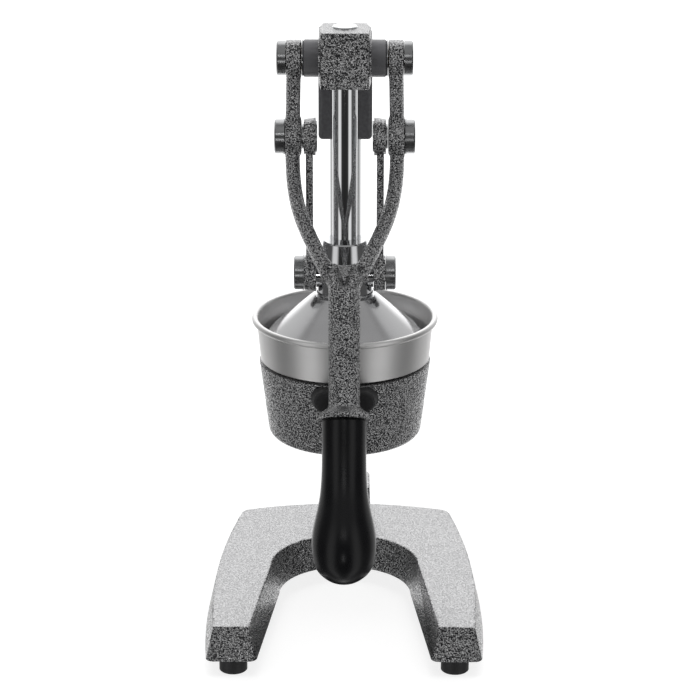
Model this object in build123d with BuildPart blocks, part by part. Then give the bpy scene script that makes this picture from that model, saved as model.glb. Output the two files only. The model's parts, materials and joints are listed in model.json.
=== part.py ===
from build123d import *
import os
from math import cos, radians, sin

os.makedirs("parts", exist_ok=True)

# The lever stands towards -Y, the floor is z = 0 and X = 0 is the plane of symmetry.

# Layout
press_y = 18.75  # press axis
column_y = press_y + 71.4
pivot_z = 376.5  # lever pivot in the head
crank = 51.0  # lever pivot to knee
link_length = 91.0  # knee to press pivot
knee_z = pivot_z - crank
press_pivot_z = knee_z - link_length
gap = 0.3  # between pieces that move past each other
fit = 0.03  # radial running clearance of shafts

# Base
foot_height = 10.5
foot_radius = 9.0
feet = [(-71, press_y - 102), (71, press_y - 102), (-60, press_y + 76), (60, press_y + 76)]
base_thickness = 22.0
base_top = foot_height + base_thickness
base_draft = 5.0  # how far the sides lean in from bottom to top
base_rear = press_y + 103.5
base_rear_sag = 14.0  # the rear edge is an arc, its ends this far forward
base_front = press_y - 113.5
base_rear_half = 76.0
base_waist_half = 90.5
base_waist_y = press_y - 45.0
base_front_half = 87.9
arch_radius = 44.0
arch_y = press_y - 8.0
leg_inner_half = 56.0
socket_top = 61.5
socket_width = 35.0

# Column and screws
column_radius = 10.5
column_foot = 15.5
column_length = 356.0
grub_radius = 3.0
screw_radius = 2.45
screw_hole_radius = 2.6
screw_head_radius = 4.5
screw_recess_radius = 4.7
column_screw_z = 48.5
cup_screw_z = (139.5, 161.5)
clamp_screw_z = 331.5

# Cup holder and bowl
cup_bottom = 124.8
cup_top = 176.0
cup_radius_low = 49.4
cup_radius_high = 56.0
cup_wall = 3.8
sleeve_radius = 17.5
spout_radius = 13.5
spout_bottom = 113.5
bowl_seat_radius = 51.6
bowl_wall_low = 55.2
bowl_wall_high = 57.6
rim_radius = 60.6
rim_bead = 2.0
rim_z = 203.9
sheet = 1.0
hole_radius = 1.5

# Head
head_width = 33.2
head_front = press_y - 18.4
head_depth = 31.4
head_bottom = 360.5
head_height = 36.0
head_front_width = 30.4  # the sides open out towards the rear
head_taper = 12.0  # length at the rear over which the block narrows to the arm
arm_bottom = 354.5
arm_top = 375.5
arm_width = 28.4
clamp_width = 35.4
clamp_front = press_y + 52.4
clamp_depth = 38.0
clamp_bottom = 309.0
cross_radius = 11.9
cross_half = 26.6

# Lever
boss_inner = 27.4
boss_outer = 37.2
boss_radius = 11.8
knee_inner = 27.6
knee_outer = 38.4
knee_radius = 11.8
arm_half_x = 4.7
arm_half_y = 8.5
stem_radius = 10.0
stem_top = (0, press_y - 66.0, 237.5)
stem_bend = (0, press_y - 78.0, 173.5)
grip_lean = 27.0
ferrule_drop = 8.0
ferrule_radius = 16.2
grip_length = 106.5
tang_radius = 5.0
insert_radius = 7.5

# Pivots
shank_radius = 6.0
bush_radius = 8.0
bolt_head_radius = 11.0
bolt_head_height = 5.6
washer_thickness = 0.8
link_inner = 18.7
link_outer = 26.2
bar_inner = 20.4
bar_outer = 25.0
bar_half = 6.5
eye_radius = 12.2
eye_draft = 8.0

# Press
rod_radius = 8.0
rod_top = 397.5
collar_bottom = 220.5
collar_top = 257.0
cone_thickness = 2.6
nut_flats = 19.0
nut_height = 9.0

press_axis = Axis((0, press_y, 0), (0, 0, 1))
press_section = Plane.XZ.offset(-press_y)  # holds the press axis
press_floor = Plane(origin=(0, press_y, 0))
column_floor = Plane(origin=(0, column_y, 0))


def cross_plane(side, x, z):
    """Plane across X on the press axis, facing outwards on that side."""
    return Plane(origin=(side * x, press_y, z), x_dir=(0, 1, 0), z_dir=(side, 0, 0))


def rear_plane(y, z):
    """Plane facing the rear, on the plane of symmetry."""
    return Plane(origin=(0, y, z), x_dir=(-1, 0, 0), z_dir=(0, 1, 0))


def write(part, name):
    part.label = name
    export_step(part, f"parts/{name}.step")


# ---------------------------------------------------------------- standing frame

with BuildPart() as base_casting:
    with BuildSketch(Plane.XY.offset(foot_height)) as base_outline:
        with BuildLine():
            rear_edge = ThreePointArc(
                (-base_rear_half, base_rear - base_rear_sag),
                (0, base_rear),
                (base_rear_half, base_rear - base_rear_sag),
            )
            right = ThreePointArc(
                rear_edge @ 1, (base_waist_half, base_waist_y), (base_front_half, base_front)
            )
            right_end = Line(right @ 1, (leg_inner_half, base_front))
            right_leg = Line(right_end @ 1, (arch_radius, arch_y))
            arch = ThreePointArc(
                right_leg @ 1, (0, arch_y + arch_radius), (-arch_radius, arch_y)
            )
            left_leg = Line(arch @ 1, (-leg_inner_half, base_front))
            left_end = Line(left_leg @ 1, (-base_front_half, base_front))
            ThreePointArc(left_end @ 1, (-base_waist_half, base_waist_y), rear_edge @ 0)
        make_face()
        fillet(base_outline.vertices().group_by(Axis.Y)[-1], radius=13)
        fillet(base_outline.vertices().group_by(Axis.Y)[0], radius=5.5)
    with BuildSketch(Plane.XY.offset(base_top)):
        add(base_outline.sketch_local)
        offset(amount=-base_draft, mode=Mode.REPLACE)
    loft()
    fillet(base_casting.faces().sort_by(Axis.Z)[-1].edges(), radius=1.5)
    with BuildSketch(column_floor.offset(base_top - 1)):
        RectangleRounded(socket_width, socket_width, radius=5)
    extrude(amount=socket_top - base_top + 1, taper=1.5)
    fillet(base_casting.faces().sort_by(Axis.Z)[-1].edges(), radius=2)
    with BuildSketch(column_floor.offset(column_foot)):
        Circle(column_radius)
    extrude(amount=socket_top, mode=Mode.SUBTRACT)
    with BuildSketch(rear_plane(column_y, column_screw_z)):
        Circle(grub_radius)
    extrude(amount=socket_width, mode=Mode.SUBTRACT)
    with BuildSketch(Plane.XY.offset(foot_height)):
        with Locations(feet):
            Circle(screw_hole_radius)
    extrude(amount=14, mode=Mode.SUBTRACT)
write(base_casting.part, "base_casting")

with BuildPart() as rubber_feet:
    with BuildSketch():
        with Locations(feet):
            Circle(foot_radius)
    extrude(amount=foot_height)
    chamfer(rubber_feet.faces().group_by(Axis.Z)[0].edges(), length=0.6)
    with BuildSketch():
        with Locations(feet):
            Circle(screw_recess_radius)
    extrude(amount=5, mode=Mode.SUBTRACT)
    with BuildSketch():
        with Locations(feet):
            Circle(screw_hole_radius)
    extrude(amount=foot_height, mode=Mode.SUBTRACT)
write(rubber_feet.part, "rubber_feet")

with BuildPart() as foot_screws:
    with BuildSketch(Plane.XY.offset(2)):
        with Locations(feet):
            Circle(screw_head_radius)
    extrude(amount=3)
    with BuildSketch(Plane.XY.offset(2)):
        with Locations(feet):
            Circle(screw_radius)
    extrude(amount=22)
    with BuildSketch(Plane.XY.offset(2)):
        with Locations(feet):
            Rectangle(6, 1)
            Rectangle(1, 6)
    extrude(amount=1.5, mode=Mode.SUBTRACT)
write(foot_screws.part, "foot_screws")

with BuildPart() as column:
    with BuildSketch(column_floor.offset(column_foot)):
        Circle(column_radius)
    extrude(amount=column_length)
    chamfer(column.edges(), length=1)
write(column.part, "column")


def grub_screws(name, heights, outer_y):
    """Socket set screws from the rear, their tips on the column."""
    tip_y = column_y + column_radius
    with BuildPart() as screws:
        for z in heights:
            with BuildSketch(rear_plane(tip_y, z)):
                Circle(grub_radius - 0.03)
            extrude(amount=outer_y - tip_y - 0.5)
            with BuildSketch(rear_plane(outer_y - 3.5, z)):
                RegularPolygon(1.5, 6)
            extrude(amount=3.5, mode=Mode.SUBTRACT)
    write(screws.part, name)


grub_screws("column_set_screw", [column_screw_z], column_y + socket_width / 2 - 0.5)
grub_screws("cup_holder_set_screws", cup_screw_z, column_y + sleeve_radius)
grub_screws("clamp_set_screw", [clamp_screw_z], clamp_front + clamp_depth)

with BuildPart() as cup_holder:
    with BuildSketch(press_section):
        with BuildLine():
            Polyline(
                (spout_radius + 3, cup_bottom),
                (cup_radius_low, cup_bottom),
                (cup_radius_high, cup_top),
                (bowl_seat_radius + 0.5, cup_top),
                (cup_radius_low - cup_wall, cup_bottom + 6),
                (spout_radius + 3, cup_bottom + 6),
                close=True,
            )
        cup_profile = make_face()
        fillet(cup_profile.vertices().group_by(Axis.Y)[0].sort_by(Axis.X)[-1:], radius=5.5)
    revolve(axis=press_axis)
    fillet(cup_holder.edges().group_by(Axis.Z)[-1], radius=0.8)
    with BuildSketch(column_floor.offset(cup_bottom + 2)):
        Circle(sleeve_radius)
        with Locations((0, -12)):
            Rectangle(28, 24)
    extrude(amount=cup_top - cup_bottom - 4)
    with BuildSketch(press_section):
        with BuildLine():
            Polyline(
                (0, cup_bottom - 1),
                (spout_radius + 3, cup_bottom - 1),
                (spout_radius + 3, cup_bottom + 6),
                (cup_radius_low - cup_wall, cup_bottom + 6),
                (bowl_seat_radius + 0.5, cup_top + 1),
                (0, cup_top + 1),
                close=True,
            )
        make_face()
    revolve(axis=press_axis, mode=Mode.SUBTRACT)
    with BuildSketch(column_floor.offset(cup_bottom)):
        Circle(column_radius + fit)
    extrude(amount=cup_top - cup_bottom, mode=Mode.SUBTRACT)
    for z in cup_screw_z:
        with BuildSketch(rear_plane(column_y, z)):
            Circle(grub_radius)
        extrude(amount=sleeve_radius + 1, mode=Mode.SUBTRACT)
write(cup_holder.part, "cup_holder")

# The bumper's face lies along the back of the stem.
stem_lean = 10.6
bumper_z = 169.8
bumper_reach = 68.1
bumper_depth = 17.0
bumper_in = Plane(
    origin=(0, press_y - bumper_reach, bumper_z),
    x_dir=(1, 0, 0),
    z_dir=(0, cos(radians(stem_lean)), -sin(radians(stem_lean))),
)

with BuildPart() as bumper:
    with BuildSketch(bumper_in):
        SlotOverall(39, 12.5)
    extrude(amount=bumper_depth, taper=-7)
    fillet(bumper.faces().sort_by(Axis.Y)[0].edges(), radius=2)
    with BuildSketch(press_section):
        with BuildLine():
            Polyline(
                (0, cup_bottom),
                (cup_radius_low + 0.05, cup_bottom),
                (cup_radius_high + 0.05, cup_top),
                (cup_radius_high + 1.4, cup_top + 10),
                (0, cup_top + 10),
                close=True,
            )
        make_face()
    revolve(axis=press_axis, mode=Mode.SUBTRACT)
    with BuildSketch(bumper_in):
        Circle(screw_recess_radius)
    extrude(amount=4, mode=Mode.SUBTRACT)
    with BuildSketch(bumper_in):
        Circle(screw_hole_radius)
    extrude(amount=bumper_depth, mode=Mode.SUBTRACT)
write(bumper.part, "bumper")

with BuildPart() as bumper_screw:
    with BuildSketch(bumper_in.offset(1.2)):
        Circle(screw_head_radius)
    extrude(amount=2.8)
    with BuildSketch(bumper_in.offset(1.2)):
        Circle(screw_radius)
    extrude(amount=11)
    with BuildSketch(bumper_in.offset(1.2)):
        RegularPolygon(2, 6)
    extrude(amount=2, mode=Mode.SUBTRACT)
write(bumper_screw.part, "bumper_screw")

with BuildPart() as juice_bowl:
    with BuildSketch(press_section):
        with BuildLine():
            Polyline(
                (spout_radius - sheet, spout_bottom),
                (spout_radius, spout_bottom),
                (spout_radius + 2, 134.5),
                (cup_radius_low - 7.5, 140.5),
                (cup_radius_low - 2.4, 146),
                (bowl_seat_radius - 0.3, cup_top - 0.4),
                (bowl_wall_low, cup_top + 1.8),
                (bowl_wall_high, rim_z),
                (bowl_wall_high - sheet, rim_z),
                (bowl_wall_low - sheet, cup_top + 2.6),
                (bowl_seat_radius - 0.3 - sheet, cup_top + 0.4),
                (cup_radius_low - 2.4 - sheet, 146.5),
                (cup_radius_low - 8, 141.5),
                (spout_radius + 2 - sheet, 135.5),
                close=True,
            )
        make_face()
        with Locations((rim_radius - rim_bead, rim_z)):
            Circle(rim_bead)
    revolve(axis=press_axis)
write(juice_bowl.part, "juice_bowl")

with BuildPart() as juice_strainer:
    with BuildSketch(press_section):
        with BuildLine():
            Polyline(
                (0, 198.5),
                (5, 197.5),
                (47.4, 171.5),
                (48.3, 179.7),
                (53.2, 180.1),
                (53.2, 181.1),
                (47.4, 180.7),
                (46.4, 173.5),
                (5.5, 198.7),
                (0, 199.7),
                close=True,
            )
        make_face()
    revolve(axis=press_axis)
    for ring, count in ((14, 10), (21, 14), (28, 20), (35, 24), (41, 28)):
        with BuildSketch(press_floor.offset(cup_top - 15)):
            with PolarLocations(ring, count):
                Circle(hole_radius)
        extrude(amount=40, mode=Mode.SUBTRACT)
write(juice_strainer.part, "juice_strainer")

clamp_screw_spots = [(-12, -14), (12, -14), (-12, 13), (12, 13)]

with BuildPart() as head_casting:
    with BuildSketch(Plane(origin=(0, head_front, head_bottom))):
        with BuildLine():
            Polyline(
                (-head_front_width / 2, 0),
                (head_front_width / 2, 0),
                (head_width / 2, head_depth - head_taper),
                (arm_width / 2, head_depth),
                (-arm_width / 2, head_depth),
                (-head_width / 2, head_depth - head_taper),
                close=True,
            )
        make_face()
    extrude(amount=head_height)
    fillet(head_casting.edges().filter_by(Axis.Z).group_by(Axis.Y)[0], radius=0.8)
    fillet(head_casting.faces().sort_by(Axis.Z)[-1].edges(), radius=1.2)
    with BuildSketch(Plane(origin=(0, 0, pivot_z), x_dir=(0, 1, 0), z_dir=(1, 0, 0))):
        with Locations((press_y, 0)):
            Circle(cross_radius)
    extrude(amount=cross_half, both=True)
    chamfer(
        head_casting.faces().filter_by(Axis.X).group_by(Axis.X)[0].edges()
        + head_casting.faces().filter_by(Axis.X).group_by(Axis.X)[-1].edges(),
        length=1.2,
    )
    with BuildSketch(Plane.XY.offset(arm_bottom)):
        with Locations((0, (head_front + head_depth + clamp_front) / 2)):
            Rectangle(arm_width, clamp_front - head_front - head_depth + 6)
        with Locations((0, clamp_front + clamp_depth / 2)):
            RectangleRounded(clamp_width, clamp_depth, radius=5)
    extrude(amount=arm_top - arm_bottom)
    fillet(
        head_casting.faces().filter_by(Axis.Z).group_by(Axis.Z)[-2].edges().group_by(Axis.Y)[-1],
        radius=1.5,
    )
    with BuildSketch(press_floor.offset(head_bottom)):
        Circle(rod_radius + 2)
    extrude(amount=32, mode=Mode.SUBTRACT)
    with BuildSketch(press_floor.offset(head_bottom)):
        Circle(rod_radius + fit)
    extrude(amount=head_height, mode=Mode.SUBTRACT)
    with BuildSketch(column_floor.offset(arm_bottom)):
        Circle(column_radius)
    extrude(amount=column_foot + column_length - arm_bottom + 0.5, mode=Mode.SUBTRACT)
    with BuildSketch(column_floor.offset(arm_bottom)):
        with Locations(clamp_screw_spots):
            Circle(screw_hole_radius)
    extrude(amount=arm_top - arm_bottom, mode=Mode.SUBTRACT)
    with BuildSketch(column_floor.offset(arm_top - 5.5)):
        with Locations(clamp_screw_spots):
            Circle(screw_recess_radius)
    extrude(amount=6, mode=Mode.SUBTRACT)
    for side in (-1, 1):
        with BuildSketch(cross_plane(side, 11, pivot_z)):
            Circle(shank_radius)
        extrude(amount=cross_half, mode=Mode.SUBTRACT)
write(head_casting.part, "head_casting")

with BuildPart() as column_clamp:
    with BuildSketch(Plane(origin=(0, clamp_front + clamp_depth / 2, clamp_bottom))):
        RectangleRounded(clamp_width, clamp_depth, radius=3)
    extrude(amount=arm_bottom - clamp_bottom)
    fillet(column_clamp.faces().sort_by(Axis.Z)[0].edges(), radius=2.9)
    with BuildSketch(column_floor.offset(clamp_bottom)):
        Circle(column_radius)
    extrude(amount=arm_bottom - clamp_bottom, mode=Mode.SUBTRACT)
    with BuildSketch(column_floor.offset(clamp_screw_z)):
        with Locations(clamp_screw_spots):
            Circle(screw_hole_radius)
    extrude(amount=arm_bottom - clamp_screw_z, mode=Mode.SUBTRACT)
    with BuildSketch(rear_plane(column_y, clamp_screw_z)):
        Circle(grub_radius)
    extrude(amount=clamp_depth, mode=Mode.SUBTRACT)
write(column_clamp.part, "column_clamp")

with BuildPart() as clamp_screws:
    with BuildSketch(column_floor.offset(arm_top - 5.5)):
        with Locations(clamp_screw_spots):
            Circle(screw_head_radius)
    extrude(amount=5)
    with BuildSketch(column_floor.offset(arm_top - 5.5)):
        with Locations(clamp_screw_spots):
            Circle(screw_radius)
    extrude(amount=-36)
    with BuildSketch(column_floor.offset(arm_top - 3.5)):
        with Locations(clamp_screw_spots):
            RegularPolygon(2.2, 6)
    extrude(amount=4, mode=Mode.SUBTRACT)
write(clamp_screws.part, "clamp_screws")

with BuildPart() as rod_bushing:
    with BuildSketch(press_floor.offset(head_bottom + 0.5)):
        Circle(rod_radius + 1.98)
        Circle(rod_radius + fit, mode=Mode.SUBTRACT)
    extrude(amount=31)
write(rod_bushing.part, "rod_bushing")


def pivot_bolts(name, z, shank_start, head_start, shank):
    """A pair of shoulder bolts with round socket heads."""
    with BuildPart() as bolts:
        for side in (-1, 1):
            with BuildSketch(cross_plane(side, shank_start, z)):
                Circle(shank)
            extrude(amount=head_start - shank_start)
            with BuildSketch(cross_plane(side, head_start, z)):
                Circle(bolt_head_radius)
            head = extrude(amount=bolt_head_height)
            outer_face = head.faces().filter_by(Axis.X).sort_by(Axis.X)[-1 if side > 0 else 0]
            chamfer(outer_face.edges(), length=0.8)
            with BuildSketch(cross_plane(side, head_start + bolt_head_height, z)):
                RegularPolygon(5, 6)
            extrude(amount=-3, mode=Mode.SUBTRACT)
    write(bolts.part, name)


def pivot_rings(name, z, start, end, outer, inner):
    """A pair of rings on a pivot: bushes or washers."""
    with BuildPart() as rings:
        for side in (-1, 1):
            with BuildSketch(cross_plane(side, start, z)):
                Circle(outer)
                Circle(inner, mode=Mode.SUBTRACT)
            extrude(amount=end - start)
    write(rings.part, name)


running_radius = shank_radius - fit
pivot_bolts("top_pivot_bolts", pivot_z, 12, boss_outer + gap, running_radius)
pivot_rings(
    "top_pivot_washers", pivot_z, cross_half, boss_inner - gap, boss_radius, shank_radius + fit
)

# ---------------------------------------------------------------- lever

lean = Vector(0, -sin(radians(grip_lean)), -cos(radians(grip_lean)))
ferrule_centre = Vector(*stem_bend) + lean * ferrule_drop
grip_section = Plane(
    origin=ferrule_centre,
    x_dir=(1, 0, 0),
    z_dir=(0, cos(radians(grip_lean)), -sin(radians(grip_lean))),
)
grip_axis = Axis(ferrule_centre, lean)

with BuildPart() as handle_fork:
    for side in (-1, 1):
        with BuildLine():
            arm_path = Spline(
                (side * 33.5, press_y, knee_z - 6),
                (side * 32.0, press_y - 9, 293.5),
                (side * 27.6, press_y - 25, 279.5),
                (side * 19.8, press_y - 42, 266.5),
                (side * 10.9, press_y - 56.5, 253.5),
                (side * 3.0, press_y - 65, 237.5),
                tangents=((0, 0, -1), (-side * 0.25, -0.25, -1)),
            )
        with BuildSketch(Plane(origin=arm_path @ 0, x_dir=(1, 0, 0), z_dir=(0, 0, -1))):
            Ellipse(arm_half_x, arm_half_y)
        sweep(path=arm_path)
        with BuildSketch(Plane(origin=(side * 33.5, press_y, knee_z - 6.5))):
            Ellipse(arm_half_x, arm_half_y)
        with BuildSketch(Plane(origin=(side * 32.4, press_y, pivot_z))):
            Ellipse(arm_half_x, arm_half_y)
        loft()
        with BuildSketch(cross_plane(side, boss_inner, pivot_z)):
            Circle(boss_radius)
        extrude(amount=boss_outer - boss_inner)
        with BuildSketch(cross_plane(side, knee_inner, knee_z)):
            Circle(knee_radius)
        extrude(amount=knee_outer - knee_inner)
    with BuildSketch(Plane(origin=(0, press_y - 57, 254.0), x_dir=(1, 0, 0), z_dir=(0, -0.5, 1))):
        SlotOverall(17, 12)
    with BuildSketch(Plane(origin=(0, press_y - 66.5, 233.5), x_dir=(1, 0, 0), z_dir=(0, -0.2, 1))):
        SlotOverall(19.8, 14)
    loft()
    with BuildLine():
        stem_path = FilletPolyline(
            (0, press_y - 64.2, 246.5), stem_top, stem_bend, ferrule_centre, radius=12
        )
    with BuildSketch(Plane(origin=stem_path @ 0, z_dir=stem_path % 0)):
        Circle(stem_radius)
    sweep(path=stem_path)
    with BuildSketch(grip_section):
        with BuildLine():
            Polyline(
                (0, -5),
                (stem_radius, -5),
                (stem_radius + 2, -3.4),
                (ferrule_radius - 1, -1.2),
                (ferrule_radius, 0.2),
                (ferrule_radius, 3),
                (tang_radius, 3),
                (tang_radius, 60),
                (0, 60),
                close=True,
            )
        make_face()
    revolve(axis=grip_axis)
    for side in (-1, 1):
        with BuildSketch(cross_plane(side, 20, pivot_z)):
            Circle(bush_radius)
        extrude(amount=30, mode=Mode.SUBTRACT)
        with BuildSketch(cross_plane(side, 20, knee_z)):
            Circle(shank_radius)
        extrude(amount=30, mode=Mode.SUBTRACT)
write(handle_fork.part, "handle_fork")

pivot_rings("fork_bushes", pivot_z, boss_inner, boss_outer, bush_radius - 0.01, shank_radius)
pivot_bolts("knee_bolts", knee_z, knee_inner, knee_outer + washer_thickness, running_radius)
pivot_rings(
    "knee_washers",
    knee_z,
    knee_outer,
    knee_outer + washer_thickness,
    bolt_head_radius + 0.4,
    shank_radius,
)

with BuildPart() as handle_grip:
    with BuildSketch(grip_section):
        with BuildLine():
            top = Line((insert_radius, 3), (13.4, 3))
            shoulder = Line(top @ 1, (14.2, 4.5))
            side_curve = Spline(
                shoulder @ 1,
                (14.0, 30),
                (14.4, 42),
                (15.7, 54),
                (18.2, 65.5),
                (20.1, 77),
                (20.2, 84),
                (19.2, 91),
                (16.8, 97.5),
                (11.2, 103),
                (0, grip_length),
                tangents=((0, 1), (-1, 0)),
            )
            Polyline(side_curve @ 1, (0, 62), (insert_radius, 62), top @ 0)
        make_face()
    revolve(axis=grip_axis)
write(handle_grip.part, "handle_grip")

with BuildPart() as grip_insert:
    with BuildSketch(grip_section):
        with BuildLine():
            Polyline(
                (tang_radius + 0.02, 12),
                (insert_radius - 0.02, 12),
                (insert_radius - 0.02, 58),
                (tang_radius + 0.02, 58),
                close=True,
            )
        make_face()
    revolve(axis=grip_axis)
write(grip_insert.part, "grip_insert")

# ---------------------------------------------------------------- links

for side, name in ((-1, "link_left"), (1, "link_right")):
    with BuildPart() as link:
        for z in (knee_z, press_pivot_z):
            with BuildSketch(cross_plane(side, link_inner, z)):
                Circle(eye_radius)
            extrude(amount=link_outer - link_inner, taper=eye_draft)
        bar_middle = side * (bar_inner + bar_outer) / 2
        with BuildSketch(Plane(origin=(bar_middle, press_y, press_pivot_z))):
            RectangleRounded(bar_outer - bar_inner, 2 * bar_half, radius=1.5)
        extrude(amount=link_length)
        for z in (knee_z, press_pivot_z):
            with BuildSketch(cross_plane(side, link_inner - 1, z)):
                Circle(bush_radius)
            extrude(amount=link_outer, mode=Mode.SUBTRACT)
    write(link.part, name)

with BuildPart() as knee_studs:
    for side in (-1, 1):
        with BuildSketch(cross_plane(side, link_inner - 1, knee_z)):
            Circle(bush_radius - 0.02)
        extrude(amount=knee_inner - gap - link_inner + 1)
        with BuildSketch(cross_plane(side, link_inner - 1, knee_z)):
            Circle(bush_radius + 2)
        extrude(amount=0.9)
write(knee_studs.part, "knee_studs")

pivot_rings(
    "link_bushes", press_pivot_z, link_inner, link_outer, bush_radius - 0.02, shank_radius
)

# ---------------------------------------------------------------- press

with BuildPart() as press_rod:
    with BuildSketch(press_floor.offset(collar_bottom + 1)):
        Circle(rod_radius)
    extrude(amount=rod_top - collar_bottom - 1)
    chamfer(press_rod.faces().sort_by(Axis.Z)[-1].edges(), length=0.6)
    with BuildSketch(press_floor.offset(collar_bottom + 1)):
        Circle(shank_radius)
    extrude(amount=-(1 + cone_thickness + nut_height + 2))
write(press_rod.part, "press_rod")

with BuildPart() as press_collar:
    with BuildSketch(press_section):
        with BuildLine():
            Polyline(
                (0, collar_bottom),
                (18.2, collar_bottom),
                (18.4, collar_bottom + 1.6),
                (17.6, collar_bottom + 2.4),
                (14.4, collar_top - 0.8),
                (13.6, collar_top),
                (0, collar_top),
                close=True,
            )
        make_face()
    revolve(axis=press_axis)
    with BuildSketch(cross_plane(1, 0, press_pivot_z)):
        Circle(9.5)
    extrude(amount=link_inner - gap, both=True)
    with BuildSketch(press_floor.offset(collar_bottom)):
        Circle(shank_radius + 0.02)
    extrude(amount=1, mode=Mode.SUBTRACT)
    with BuildSketch(press_floor.offset(collar_bottom + 1)):
        Circle(rod_radius + 0.02)
    extrude(amount=collar_top, mode=Mode.SUBTRACT)
    for side in (-1, 1):
        with BuildSketch(cross_plane(side, rod_radius, press_pivot_z)):
            Circle(shank_radius)
        extrude(amount=20, mode=Mode.SUBTRACT)
write(press_collar.part, "press_collar")

with BuildPart() as press_cone:
    with BuildSketch(press_section):
        with BuildLine():
            Polyline(
                (shank_radius + 0.02, collar_bottom),
                (20.0, collar_bottom),
                (47.0, 197.1),
                (50.6, 193.1),
                (51.6, 188.5),
                (50.4, 188.5),
                (49.0, 192.1),
                (45.4, 195.1),
                (19.0, collar_bottom - cone_thickness),
                (shank_radius + 0.02, collar_bottom - cone_thickness),
                close=True,
            )
        make_face()
    revolve(axis=press_axis)
write(press_cone.part, "press_cone")

with BuildPart() as cone_nut:
    with BuildSketch(press_floor.offset(collar_bottom - cone_thickness)):
        RegularPolygon(nut_flats / 2, 6, major_radius=False)
        Circle(shank_radius + 0.02, mode=Mode.SUBTRACT)
    extrude(amount=-nut_height)
write(cone_nut.part, "cone_nut")

lower_head = link_outer + gap + washer_thickness
pivot_bolts("lower_pivot_bolts", press_pivot_z, rod_radius + 1, lower_head, running_radius)
pivot_rings(
    "lower_pivot_washers",
    press_pivot_z,
    link_outer + gap,
    lower_head,
    bolt_head_radius + 0.4,
    shank_radius,
)
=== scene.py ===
import json
from math import cos, pi, radians, sin

import bmesh
import bpy
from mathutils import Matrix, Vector


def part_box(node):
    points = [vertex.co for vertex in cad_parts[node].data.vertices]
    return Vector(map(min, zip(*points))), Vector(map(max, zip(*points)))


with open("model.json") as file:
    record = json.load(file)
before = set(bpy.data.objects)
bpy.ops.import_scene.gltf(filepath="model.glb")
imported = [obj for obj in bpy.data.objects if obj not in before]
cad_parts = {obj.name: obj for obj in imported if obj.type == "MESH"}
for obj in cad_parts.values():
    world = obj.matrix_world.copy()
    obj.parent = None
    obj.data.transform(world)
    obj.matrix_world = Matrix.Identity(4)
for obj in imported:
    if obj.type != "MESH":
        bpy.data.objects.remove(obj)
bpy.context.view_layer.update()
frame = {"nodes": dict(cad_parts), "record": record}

nodes = frame["nodes"]
SLOT_OF = {row["node"]: row["material_slot"] for row in frame["record"]["subparts"]}

# ---------------------------------------------------------------- camera

rod_low, rod_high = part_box("press_rod")
PRESS_X = (rod_low.x + rod_high.x) / 2
PRESS_Y = (rod_low.y + rod_high.y) / 2
CAMERA_DISTANCE = 1.717
CAMERA_HEIGHT = 0.7805
CAMERA_AZIMUTH = radians(0.3)
CAMERA_PITCH = radians(19.24)
CAMERA_LENS = 142.8
CAMERA_SHIFT = 0.0073


def make_camera():
    data = bpy.data.cameras.new("camera")
    data.lens = CAMERA_LENS
    data.sensor_width = 36
    data.clip_start = 0.05
    data.shift_x = CAMERA_SHIFT
    camera = bpy.data.objects.new("camera", data)
    camera.location = (
        PRESS_X + CAMERA_DISTANCE * sin(CAMERA_AZIMUTH),
        PRESS_Y - CAMERA_DISTANCE * cos(CAMERA_AZIMUTH),
        CAMERA_HEIGHT,
    )
    camera.rotation_euler = (pi / 2 - CAMERA_PITCH, 0, CAMERA_AZIMUTH)
    bpy.context.scene.collection.objects.link(camera)
    bpy.context.scene.camera = camera


# ---------------------------------------------------------------- shader helpers


def math_node(tree, kind, *values):
    made = tree.nodes.new("ShaderNodeMath")
    made.operation = kind
    for socket, value in zip(made.inputs, values):
        plug(tree, value, socket)
    return made.outputs[0]


def plug(tree, value, socket):
    """Link an output to the socket, or set a plain value on it."""
    if hasattr(value, "is_output"):
        tree.links.new(value, socket)
    else:
        socket.default_value = value


def fill_ramp(ramp_node, stops):
    """Set a colour ramp's stops: pairs of place and grey or colour."""
    points = ramp_node.color_ramp.elements
    while len(points) < len(stops):
        points.new(0.5)
    for point, (place, value) in zip(points, stops):
        point.position = place
        rgb = value if isinstance(value, tuple) else (value, value, value)
        point.color = (*rgb, 1)


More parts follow.
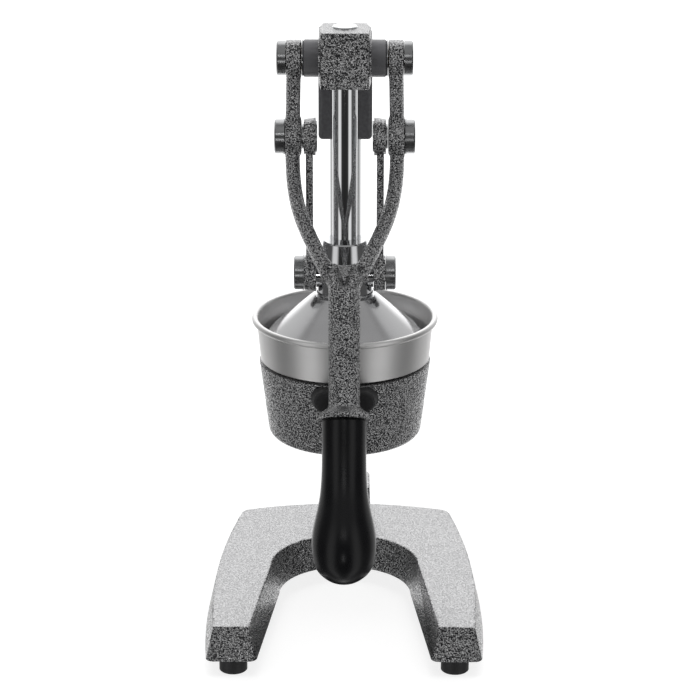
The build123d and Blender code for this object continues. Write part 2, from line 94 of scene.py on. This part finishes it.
class Shader:
    """A material with its nodes, and short calls to add more of them."""

    def __init__(self, name):
        self.material = bpy.data.materials.new(name)
        self.material.use_nodes = True
        self.tree = self.material.node_tree
        self.bsdf = self.tree.nodes["Principled BSDF"]
        self.coordinates = self.tree.nodes.new("ShaderNodeTexCoord")
        self.where = self.coordinates.outputs["Object"]

    def value(self, **values):
        for name, value in values.items():
            self.bsdf.inputs[name.replace("_", " ")].default_value = value

    def link(self, source, target):
        self.tree.links.new(source, target)

    def node(self, kind, **sockets):
        made = self.tree.nodes.new(kind)
        for name, value in sockets.items():
            plug(self.tree, value, made.inputs[name.replace("_", " ")])
        return made

    def noise(self, scale, detail=2.0, rough=0.5, where=None):
        made = self.node(
            "ShaderNodeTexNoise",
            Vector=where or self.where,
            Scale=scale,
            Detail=detail,
            Roughness=rough,
        )
        return made.outputs["Fac"]

    def stretched(self, sx, sy, sz):
        made = self.tree.nodes.new("ShaderNodeMapping")
        made.inputs["Scale"].default_value = (sx, sy, sz)
        self.link(self.where, made.inputs["Vector"])
        return made.outputs["Vector"]

    def ramp(self, factor, *stops):
        made = self.tree.nodes.new("ShaderNodeValToRGB")
        fill_ramp(made, stops)
        self.link(factor, made.inputs["Fac"])
        return made.outputs["Color"]

    def mix(self, factor, a, b):
        made = self.tree.nodes.new("ShaderNodeMix")
        made.data_type = "RGBA"
        self.link(factor, made.inputs["Factor"])
        for socket, value in zip((made.inputs[6], made.inputs[7]), (a, b)):
            plug(self.tree, (*value, 1) if isinstance(value, tuple) else value, socket)
        return made.outputs[2]

    def math(self, kind, *values):
        return math_node(self.tree, kind, *values)

    def bump(self, height, strength, distance):
        made = self.node("ShaderNodeBump", Height=height, Strength=strength, Distance=distance)
        self.link(made.outputs["Normal"], self.bsdf.inputs["Normal"])

    def set(self, source, name):
        self.link(source, self.bsdf.inputs[name])


# ---------------------------------------------------------------- materials

HAMMER_SCALE = 1100
HAMMER_DEPTH = 0.0009
HEAD_EDGE = 0.0167  # half-width of the head block, where the cross bosses start
DARK_ENAMEL = (0.13, 0.13, 0.137)


def hammertone(name, smooth_from=None):
    """Hammered silver over black, which flows smoother on flat upward faces; the colour there is
    also blended towards a lighter flat grey, which is painted light on the upward faces.

    Beyond smooth_from in X it is plain dark enamel.
    """
    s = Shader(name)
    cells = s.noise(HAMMER_SCALE, detail=1.0, rough=0.4)
    colour = s.ramp(cells, (0.42, (0.055, 0.055, 0.059)), (0.57, (0.68, 0.68, 0.685)))
    rough = s.ramp(cells, (0.40, 0.42), (0.56, 0.26))
    normal = s.node("ShaderNodeSeparateXYZ", Vector=s.coordinates.outputs["Normal"])
    level_flow_and_top_light = s.ramp(normal.outputs["Z"], (0.80, 0.0), (0.97, 1.0))
    depth = s.math("SUBTRACT", 1.0, s.math("MULTIPLY", level_flow_and_top_light, 0.65))
    height = s.math("MULTIPLY", cells, depth)
    # Painted light: faces pointing up are mixed towards a lighter plain grey, as if lit from
    # above.
    colour = s.mix(s.math("MULTIPLY", level_flow_and_top_light, 0.74), colour, (0.44, 0.44, 0.445))
    if smooth_from is None:
        s.value(Metallic=1.0)
    else:
        split = s.node("ShaderNodeSeparateXYZ", Vector=s.where)
        plain = s.math("GREATER_THAN", s.math("ABSOLUTE", split.outputs["X"]), smooth_from)
        colour = s.mix(plain, colour, DARK_ENAMEL)
        rough = s.mix(plain, rough, (0.36, 0.36, 0.36))
        s.set(s.math("SUBTRACT", 1.0, plain), "Metallic")
        fade = s.math("SUBTRACT", 1.0, s.math("MULTIPLY", plain, 0.9))
        height = s.math("MULTIPLY", height, fade)
    s.set(colour, "Base Color")
    s.set(rough, "Roughness")
    s.bump(height, 1.0, HAMMER_DEPTH)
    return s.material


def smooth_paint():
    s = Shader("smooth_grey_enamel")
    peel = s.noise(420, detail=1.0)
    s.set(s.ramp(peel, (0.3, (0.083, 0.083, 0.089)), (0.7, (0.112, 0.112, 0.118))), "Base Color")
    s.set(s.ramp(s.noise(60), (0.3, 0.42), (0.7, 0.52)), "Roughness")
    s.bump(peel, 0.12, 0.0002)
    return s.material


def metal(name, color, rough_low, rough_high, scratch=(300, 300, 300), depth=0.02):
    s = Shader(name)
    s.value(Metallic=1.0)
    smear = s.noise(35, detail=3.0)
    lines = s.noise(1.0, detail=2.0, where=s.stretched(*scratch))
    dark = tuple(c * 0.94 for c in color)
    s.set(s.ramp(smear, (0.3, dark), (0.7, color)), "Base Color")
    s.set(s.ramp(lines, (0.3, rough_low), (0.7, rough_high)), "Roughness")
    s.bump(lines, depth, 0.0001)
    return s.material


def rubber():
    s = Shader("black_rubber")
    grain = s.noise(1500, detail=2.0)
    cloud = s.noise(90)
    s.set(s.ramp(cloud, (0.3, (0.016, 0.016, 0.017)), (0.7, (0.026, 0.026, 0.028))), "Base Color")
    s.set(s.ramp(grain, (0.3, 0.5), (0.7, 0.62)), "Roughness")
    s.bump(grain, 0.15, 0.0001)
    return s.material


def grip_plastic():
    s = Shader("black_grip")
    cloud = s.noise(45, detail=3.0)
    s.set(s.ramp(cloud, (0.3, (0.004, 0.004, 0.005)), (0.7, (0.007, 0.007, 0.008))), "Base Color")
    s.set(s.ramp(cloud, (0.3, 0.25), (0.7, 0.31)), "Roughness")
    s.value(Specular_IOR_Level=0.32)
    s.bump(s.noise(900), 0.03, 0.0001)
    return s.material


MATERIALS = {
    "hammertone": hammertone("hammertone_enamel"),
    "smooth_paint": smooth_paint(),
    "chrome": metal("bright_chrome", (0.86, 0.87, 0.88), 0.05, 0.09, (500, 500, 25)),
    "polished_steel": metal("polished_steel", (0.80, 0.80, 0.81), 0.13, 0.2, (30, 30, 1800)),
    "satin_steel": metal("satin_steel", (0.93, 0.925, 0.92), 0.41, 0.46, (25, 25, 2600), 0.012),
    "pivot_steel": metal("pivot_steel", (0.46, 0.465, 0.47), 0.24, 0.34, (90, 90, 90), 0.03),
    "zinc_steel": metal("zinc_steel", (0.55, 0.56, 0.58), 0.3, 0.42),
    "bronze": metal("sintered_bronze", (0.55, 0.37, 0.19), 0.35, 0.5),
    "rubber": rubber(),
    "grip": grip_plastic(),
}


def dress_cad_nodes():
    for name, node in nodes.items():
        node.data.materials.clear()
        node.data.materials.append(MATERIALS[SLOT_OF[name]])
    nodes["head_casting"].data.materials[0] = hammertone("hammertone_head_enamel", HEAD_EDGE)
    nodes["press_collar"].data.materials[0] = metal(
        "collar_steel", (0.72, 0.725, 0.735), 0.08, 0.13, (500, 500, 25)
    )


# ---------------------------------------------------------------- cast edges


def modifier(node, kind, **settings):
    made = nodes[node].modifiers.new(kind.lower(), kind)
    for name, value in settings.items():
        setattr(made, name, value)


WELD_DISTANCE = 0.00001
FORK_VOXEL = 0.0007
CAST_RADIUS = 0.0006
BEVELLED = ("base_casting", "head_casting", "column_clamp", "link_left", "link_right")


def soften_castings():
    """Sand-cast radii: the fork is blended all over, the other castings along their edges."""
    modifier("handle_fork", "WELD", merge_threshold=WELD_DISTANCE)
    modifier("handle_fork", "REMESH", mode="VOXEL", voxel_size=FORK_VOXEL, use_smooth_shade=True)
    modifier("handle_fork", "SMOOTH", factor=0.5, iterations=14)
    for name in BEVELLED:
        modifier(name, "WELD", merge_threshold=WELD_DISTANCE)
        modifier(
            name,
            "BEVEL",
            width=CAST_RADIUS,
            segments=2,
            limit_method="ANGLE",
            angle_limit=radians(35),
            use_clamp_overlap=True,
            harden_normals=True,
        )


# ---------------------------------------------------------------- studio

FLOOR_RADIUS = 0.42
FLAG_HEIGHT = 0.001
# The soft boxes and flags round the object: degrees from the front, brightness
RING = (
    (0, 0.02),
    (28, 0.03),
    (40, 0.8),
    (57, 0.8),
    (68, 0.09),
    (106, 0.09),
    (116, 0.5),
    (145, 0.6),
    (158, 1.4),
    (180, 1.45),
)
DOME_LOW = 0.55  # sine of the elevation where the ring starts to fade into the ceiling
DOME_HIGH = 0.8  # and where it has
OVERHEAD = 0.33  # brightness of the ceiling
REAR_LIFT = 0.45  # the white behind the object reaches higher than the sides


def make_floor():
    mesh = bpy.data.meshes.new("floor")
    disc = bmesh.new()
    bmesh.ops.create_circle(disc, cap_ends=True, radius=FLOOR_RADIUS, segments=96)
    disc.to_mesh(mesh)
    disc.free()
    s = Shader("pale_floor")
    s.set(s.ramp(s.noise(3), (0.3, (0.34, 0.34, 0.34)), (0.7, (0.36, 0.36, 0.36))), "Base Color")
    s.value(Roughness=0.95, Emission_Strength=0.80)
    s.bsdf.inputs["Emission Color"].default_value = (1, 1, 1, 1)
    mesh.materials.append(s.material)
    floor = bpy.data.objects.new("floor", mesh)
    bpy.context.scene.collection.objects.link(floor)
    floor.visible_glossy = False


def make_sky():
    """White behind the object, and soft boxes and dark flags that only reflections show."""
    world = bpy.data.worlds.new("studio")
    world.use_nodes = True
    tree = world.node_tree
    tree.nodes.clear()
    where = tree.nodes.new("ShaderNodeTexCoord")
    split = tree.nodes.new("ShaderNodeSeparateXYZ")
    tree.links.new(where.outputs["Generated"], split.inputs[0])
    x, y, z = split.outputs
    side = math_node(tree, "ABSOLUTE", x)
    turn = math_node(tree, "ARCTAN2", side, math_node(tree, "MULTIPLY", y, -1.0))
    ring = tree.nodes.new("ShaderNodeValToRGB")
    fill_ramp(ring, [(degrees / 180, value) for degrees, value in RING])
    tree.links.new(math_node(tree, "DIVIDE", turn, pi), ring.inputs[0])
    rise = tree.nodes.new("ShaderNodeMapRange")
    rise.interpolation_type = "SMOOTHSTEP"
    behind = math_node(tree, "MULTIPLY", math_node(tree, "MAXIMUM", y, 0.0), REAR_LIFT)
    tree.links.new(math_node(tree, "SUBTRACT", z, behind), rise.inputs["Value"])
    rise.inputs["From Min"].default_value = DOME_LOW
    rise.inputs["From Max"].default_value = DOME_HIGH
    blend = tree.nodes.new("ShaderNodeMix")
    blend.data_type = "FLOAT"
    tree.links.new(rise.outputs[0], blend.inputs["Factor"])
    tree.links.new(ring.outputs[0], blend.inputs[2])
    blend.inputs[3].default_value = OVERHEAD
    seen = tree.nodes.new("ShaderNodeLightPath")
    strength = math_node(tree, "MAXIMUM", blend.outputs[0], seen.outputs["Is Camera Ray"])
    glow = tree.nodes.new("ShaderNodeBackground")
    glow.inputs["Color"].default_value = (1, 1, 1, 1)
    tree.links.new(strength, glow.inputs["Strength"])
    out = tree.nodes.new("ShaderNodeOutputWorld")
    tree.links.new(glow.outputs[0], out.inputs["Surface"])
    bpy.context.scene.world = world


# Name, place and aim from the press axis on the floor, size, watts, seen in reflections only
LIGHTS = (
    ("overhead", (0, 0.1, 1.6), (0, 0, 0), (1.6, 1.2), 14, False),
    ("catch", (-0.03, -1.3, 0.16), (0, 0, 0.1), (0.06, 0.12), 0.3, True),
    ("strip", (0, -1.3, 1.1), (0, 0, 0.37), (0.5, 0.12), 0.6, True),
)


def area_light(name, place, target, size, power, glossy):
    data = bpy.data.lights.new(name, "AREA")
    data.shape = "RECTANGLE"
    data.size, data.size_y = size
    data.energy = power
    light = bpy.data.objects.new(name, data)
    light.location = Vector((0, PRESS_Y, 0)) + Vector(place)
    aim = Vector(target) - Vector(place)
    light.rotation_euler = aim.to_track_quat("-Z", "Y").to_euler()
    light.visible_glossy = glossy
    light.visible_diffuse = not glossy
    light.visible_camera = False
    bpy.context.scene.collection.objects.link(light)


def make_shade_card():
    """A black card on the floor between the legs, seen only in reflections: painted shade
    standing in for the shaded floor that the inner arch walls reflect.
    """
    low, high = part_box("base_casting")
    half = high.x * 0.55
    corners = ((-half, low.y), (half, low.y), (half, PRESS_Y), (-half, PRESS_Y))
    mesh = bpy.data.meshes.new("flag")
    mesh.from_pydata([(x, y, FLAG_HEIGHT) for x, y in corners], [], [(0, 1, 2, 3)])
    # Painted shade: this dark sheet is what darkens the reflections on the inner arch walls.
    s = Shader("painted_shade_card")
    s.set(s.ramp(s.noise(80), (0.3, 0.03), (0.7, 0.05)), "Base Color")
    s.value(Roughness=1.0)
    mesh.materials.append(s.material)
    flag = bpy.data.objects.new("flag", mesh)
    flag.visible_camera = False
    flag.visible_diffuse = False
    flag.visible_shadow = False
    bpy.context.scene.collection.objects.link(flag)


def make_studio():
    make_floor()
    make_shade_card()
    make_sky()
    for light in LIGHTS:
        area_light(*light)
    bpy.context.scene.view_settings.view_transform = "Standard"


make_camera()
dress_cad_nodes()
soften_castings()
make_studio()
